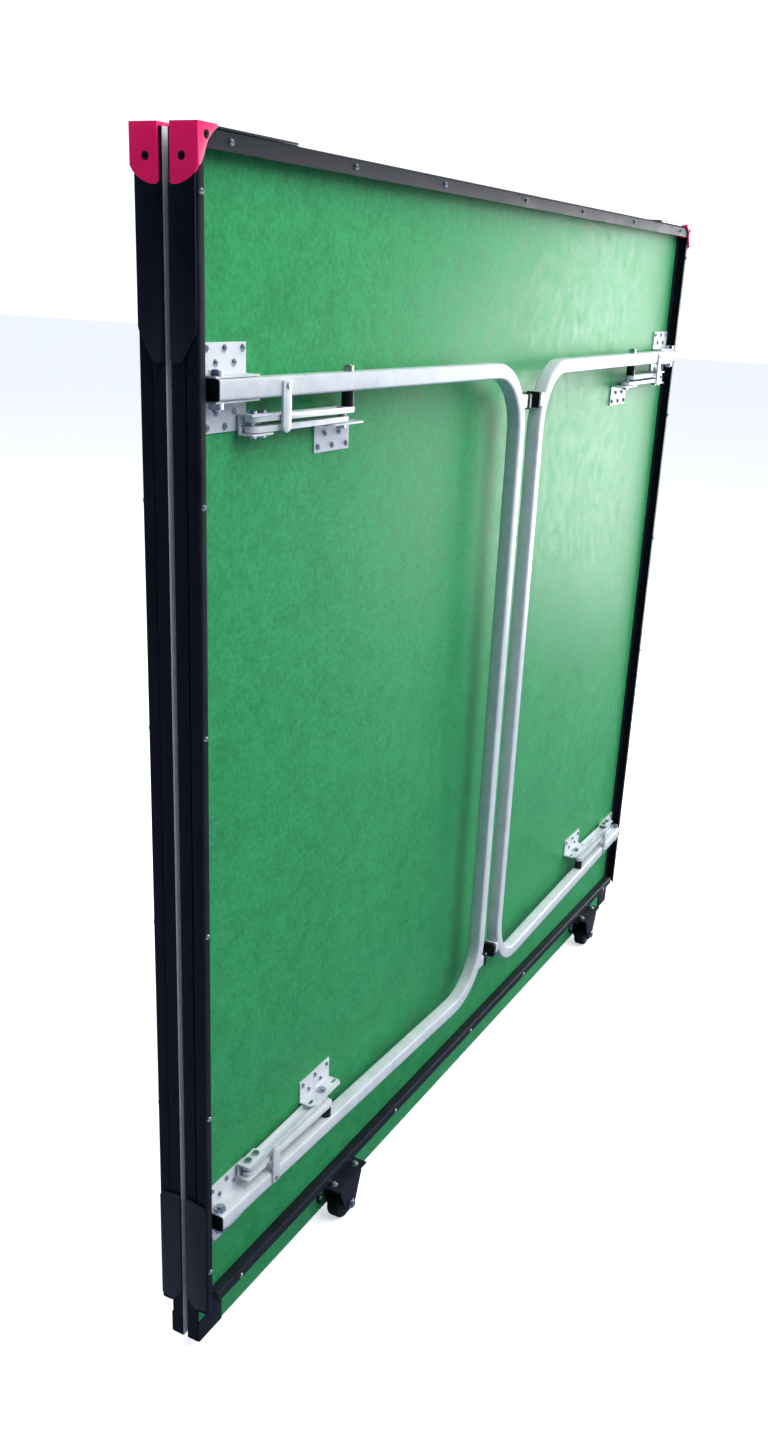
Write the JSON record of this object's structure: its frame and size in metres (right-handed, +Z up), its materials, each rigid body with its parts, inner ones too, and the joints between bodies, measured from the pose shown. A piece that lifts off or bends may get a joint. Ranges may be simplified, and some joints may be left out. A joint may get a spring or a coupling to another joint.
{
  "type": "ping pong table",
  "caption": "Ping pong table parted into halves that stand on edge, face to face, on castors for storage, each with fold-out tube leg frames and jointed stays under a green top.",
  "frame": {"origin": "on the floor midway between the four castors' rows: the middle of the bounding box's bottom", "axes": "+X along the width of the halves, to the right seen from the front; +Y from the front half to the rear half; +Z up"},
  "size_m": [1.5304, 0.1274, 1.3936],
  "materials": {
    "painted_board": "satin paint, lightly mottled",
    "black_steel": "satin powder coat",
    "red_plastic": "gloss moulded plastic",
    "white_steel": "gloss powder coat",
    "black_rubber": "matte"
  },
  "bodies": {
    "front_left_castor_wheel": {"front_left_castor_wheel": "black_rubber"},
    "front_left_legs": {"front_left_leg_frame": "white_steel"},
    "front_left_lower_stay_board_arm": {"front_left_lower_stay_board_arm": "white_steel"},
    "front_left_lower_stay_leg_arm": {"front_left_lower_stay_leg_arm": "white_steel"},
    "front_left_upper_stay_board_arm": {"front_left_upper_stay_board_arm": "white_steel"},
    "front_left_upper_stay_leg_arm": {"front_left_upper_stay_leg_arm": "white_steel"},
    "front_right_castor_wheel": {"front_right_castor_wheel": "black_rubber"},
    "front_right_legs": {"front_right_leg_frame": "white_steel"},
    "front_right_lower_stay_board_arm": {"front_right_lower_stay_board_arm": "white_steel"},
    "front_right_lower_stay_leg_arm": {"front_right_lower_stay_leg_arm": "white_steel"},
    "front_right_upper_stay_board_arm": {"front_right_upper_stay_board_arm": "white_steel"},
    "front_right_upper_stay_leg_arm": {"front_right_upper_stay_leg_arm": "white_steel"},
    "front_half": {"front_board": "painted_board", "front_bottom_rail": "black_steel", "front_left_apron": "black_steel", "front_left_castor_fork": "black_steel", "front_left_corner_protector": "red_plastic", "front_left_lower_hinge_bracket": "white_steel", "front_left_lower_stay_bracket": "white_steel", "front_left_upper_hinge_bracket": "white_steel", "front_left_upper_stay_bracket": "white_steel", "front_right_apron": "black_steel", "front_right_castor_fork": "black_steel", "front_right_corner_protector": "red_plastic", "front_right_lower_hinge_bracket": "white_steel", "front_right_lower_stay_bracket": "white_steel", "front_right_upper_hinge_bracket": "white_steel", "front_right_upper_stay_bracket": "white_steel", "front_top_apron": "black_steel"},
    "rear_left_castor_wheel": {"rear_left_castor_wheel": "black_rubber"},
    "rear_left_legs": {"rear_left_leg_frame": "white_steel"},
    "rear_left_lower_stay_board_arm": {"rear_left_lower_stay_board_arm": "white_steel"},
    "rear_left_lower_stay_leg_arm": {"rear_left_lower_stay_leg_arm": "white_steel"},
    "rear_left_upper_stay_board_arm": {"rear_left_upper_stay_board_arm": "white_steel"},
    "rear_left_upper_stay_leg_arm": {"rear_left_upper_stay_leg_arm": "white_steel"},
    "rear_right_castor_wheel": {"rear_right_castor_wheel": "black_rubber"},
    "rear_right_legs": {"rear_right_leg_frame": "white_steel"},
    "rear_right_lower_stay_board_arm": {"rear_right_lower_stay_board_arm": "white_steel"},
    "rear_right_lower_stay_leg_arm": {"rear_right_lower_stay_leg_arm": "white_steel"},
    "rear_right_upper_stay_board_arm": {"rear_right_upper_stay_board_arm": "white_steel"},
    "rear_right_upper_stay_leg_arm": {"rear_right_upper_stay_leg_arm": "white_steel"},
    "rear_half": {"rear_board": "painted_board", "rear_bottom_rail": "black_steel", "rear_left_apron": "black_steel", "rear_left_castor_fork": "black_steel", "rear_left_corner_protector": "red_plastic", "rear_left_lower_hinge_bracket": "white_steel", "rear_left_lower_stay_bracket": "white_steel", "rear_left_upper_hinge_bracket": "white_steel", "rear_left_upper_stay_bracket": "white_steel", "rear_right_apron": "black_steel", "rear_right_castor_fork": "black_steel", "rear_right_corner_protector": "red_plastic", "rear_right_lower_hinge_bracket": "white_steel", "rear_right_lower_stay_bracket": "white_steel", "rear_right_upper_hinge_bracket": "white_steel", "rear_right_upper_stay_bracket": "white_steel", "rear_top_apron": "black_steel"}
  },
  "joints": [
    {"name": "halves_apart", "type": "slide", "parent": "front_half", "child": "rear_half", "axis": [1, 0, 0], "range_m": [0, 1.6]},
    {"name": "front_left_legs_fold", "type": "hinge", "parent": "front_half", "child": "front_left_legs", "pos_m": [-0.732, -0.032, 0.682], "axis": [0, 0, -1], "range_deg": [0, 88.25]},
    {"name": "front_left_upper_leg_arm_turn", "type": "hinge", "parent": "front_left_legs", "child": "front_left_upper_stay_leg_arm", "pos_m": [-0.49111, -0.03936, 1.138], "axis": [0, 0, -1], "range_deg": [0, 25.92]},
    {"name": "front_left_upper_board_arm_turn", "type": "hinge", "parent": "front_half", "child": "front_left_upper_stay_board_arm", "pos_m": [-0.491, -0.032, 1.1274], "axis": [0, 0, 1], "range_deg": [0, 25.92]},
    {"name": "front_left_lower_leg_arm_turn", "type": "hinge", "parent": "front_left_legs", "child": "front_left_lower_stay_leg_arm", "pos_m": [-0.49111, -0.03936, 0.226], "axis": [0, 0, -1], "range_deg": [0, 25.92]},
    {"name": "front_left_lower_board_arm_turn", "type": "hinge", "parent": "front_half", "child": "front_left_lower_stay_board_arm", "pos_m": [-0.491, -0.032, 0.2366], "axis": [0, 0, 1], "range_deg": [0, 25.92]},
    {"name": "front_right_legs_fold", "type": "hinge", "parent": "front_half", "child": "front_right_legs", "pos_m": [0.732, -0.032, 0.682], "axis": [0, 0, 1], "range_deg": [0, 88.25]},
    {"name": "front_right_upper_leg_arm_turn", "type": "hinge", "parent": "front_right_legs", "child": "front_right_upper_stay_leg_arm", "pos_m": [0.49111, -0.03936, 1.138], "axis": [0, 0, 1], "range_deg": [0, 25.92]},
    {"name": "front_right_upper_board_arm_turn", "type": "hinge", "parent": "front_half", "child": "front_right_upper_stay_board_arm", "pos_m": [0.491, -0.032, 1.1274], "axis": [0, 0, -1], "range_deg": [0, 25.92]},
    {"name": "front_right_lower_leg_arm_turn", "type": "hinge", "parent": "front_right_legs", "child": "front_right_lower_stay_leg_arm", "pos_m": [0.49111, -0.03936, 0.226], "axis": [0, 0, 1], "range_deg": [0, 25.92]},
    {"name": "front_right_lower_board_arm_turn", "type": "hinge", "parent": "front_half", "child": "front_right_lower_stay_board_arm", "pos_m": [0.491, -0.032, 0.2366], "axis": [0, 0, -1], "range_deg": [0, 25.92]},
    {"name": "front_left_castor_wheel_roll", "type": "hinge", "parent": "front_half", "child": "front_left_castor_wheel", "pos_m": [-0.434, -0.036, 0.025], "axis": [0, 1, 0], "continuous": true},
    {"name": "front_right_castor_wheel_roll", "type": "hinge", "parent": "front_half", "child": "front_right_castor_wheel", "pos_m": [0.575, -0.036, 0.025], "axis": [0, 1, 0], "continuous": true},
    {"name": "rear_left_legs_fold", "type": "hinge", "parent": "rear_half", "child": "rear_left_legs", "pos_m": [0.732, 0.032, 0.682], "axis": [0, 0, -1], "range_deg": [0, 88.25]},
    {"name": "rear_left_upper_leg_arm_turn", "type": "hinge", "parent": "rear_left_legs", "child": "rear_left_upper_stay_leg_arm", "pos_m": [0.49111, 0.03936, 1.138], "axis": [0, 0, -1], "range_deg": [0, 25.92]},
    {"name": "rear_left_upper_board_arm_turn", "type": "hinge", "parent": "rear_half", "child": "rear_left_upper_stay_board_arm", "pos_m": [0.491, 0.032, 1.1274], "axis": [0, 0, 1], "range_deg": [0, 25.92]},
    {"name": "rear_left_lower_leg_arm_turn", "type": "hinge", "parent": "rear_left_legs", "child": "rear_left_lower_stay_leg_arm", "pos_m": [0.49111, 0.03936, 0.226], "axis": [0, 0, -1], "range_deg": [0, 25.92]},
    {"name": "rear_left_lower_board_arm_turn", "type": "hinge", "parent": "rear_half", "child": "rear_left_lower_stay_board_arm", "pos_m": [0.491, 0.032, 0.2366], "axis": [0, 0, 1], "range_deg": [0, 25.92]},
    {"name": "rear_right_legs_fold", "type": "hinge", "parent": "rear_half", "child": "rear_right_legs", "pos_m": [-0.732, 0.032, 0.682], "axis": [0, 0, 1], "range_deg": [0, 88.25]},
    {"name": "rear_right_upper_leg_arm_turn", "type": "hinge", "parent": "rear_right_legs", "child": "rear_right_upper_stay_leg_arm", "pos_m": [-0.49111, 0.03936, 1.138], "axis": [0, 0, 1], "range_deg": [0, 25.92]},
    {"name": "rear_right_upper_board_arm_turn", "type": "hinge", "parent": "rear_half", "child": "rear_right_upper_stay_board_arm", "pos_m": [-0.491, 0.032, 1.1274], "axis": [0, 0, -1], "range_deg": [0, 25.92]},
    {"name": "rear_right_lower_leg_arm_turn", "type": "hinge", "parent": "rear_right_legs", "child": "rear_right_lower_stay_leg_arm", "pos_m": [-0.49111, 0.03936, 0.226], "axis": [0, 0, 1], "range_deg": [0, 25.92]},
    {"name": "rear_right_lower_board_arm_turn", "type": "hinge", "parent": "rear_half", "child": "rear_right_lower_stay_board_arm", "pos_m": [-0.491, 0.032, 0.2366], "axis": [0, 0, -1], "range_deg": [0, 25.92]},
    {"name": "rear_left_castor_wheel_roll", "type": "hinge", "parent": "rear_half", "child": "rear_left_castor_wheel", "pos_m": [0.434, 0.036, 0.025], "axis": [0, 1, 0], "continuous": true},
    {"name": "rear_right_castor_wheel_roll", "type": "hinge", "parent": "rear_half", "child": "rear_right_castor_wheel", "pos_m": [-0.575, 0.036, 0.025], "axis": [0, 1, 0], "continuous": true}
  ],
  "couplings": [
    {"joint": "front_left_upper_leg_arm_turn", "follows": "front_left_legs_fold", "ratio": 0.2936},
    {"joint": "front_left_upper_board_arm_turn", "follows": "front_left_legs_fold", "ratio": 0.2936},
    {"joint": "front_left_lower_leg_arm_turn", "follows": "front_left_legs_fold", "ratio": 0.2936},
    {"joint": "front_left_lower_board_arm_turn", "follows": "front_left_legs_fold", "ratio": 0.2936},
    {"joint": "front_right_upper_leg_arm_turn", "follows": "front_right_legs_fold", "ratio": 0.2936},
    {"joint": "front_right_upper_board_arm_turn", "follows": "front_right_legs_fold", "ratio": 0.2936},
    {"joint": "front_right_lower_leg_arm_turn", "follows": "front_right_legs_fold", "ratio": 0.2936},
    {"joint": "front_right_lower_board_arm_turn", "follows": "front_right_legs_fold", "ratio": 0.2936},
    {"joint": "rear_left_upper_leg_arm_turn", "follows": "rear_left_legs_fold", "ratio": 0.2936},
    {"joint": "rear_left_upper_board_arm_turn", "follows": "rear_left_legs_fold", "ratio": 0.2936},
    {"joint": "rear_left_lower_leg_arm_turn", "follows": "rear_left_legs_fold", "ratio": 0.2936},
    {"joint": "rear_left_lower_board_arm_turn", "follows": "rear_left_legs_fold", "ratio": 0.2936},
    {"joint": "rear_right_upper_leg_arm_turn", "follows": "rear_right_legs_fold", "ratio": 0.2936},
    {"joint": "rear_right_upper_board_arm_turn", "follows": "rear_right_legs_fold", "ratio": 0.2936},
    {"joint": "rear_right_lower_leg_arm_turn", "follows": "rear_right_legs_fold", "ratio": 0.2936},
    {"joint": "rear_right_lower_board_arm_turn", "follows": "rear_right_legs_fold", "ratio": 0.2936}
  ]
}
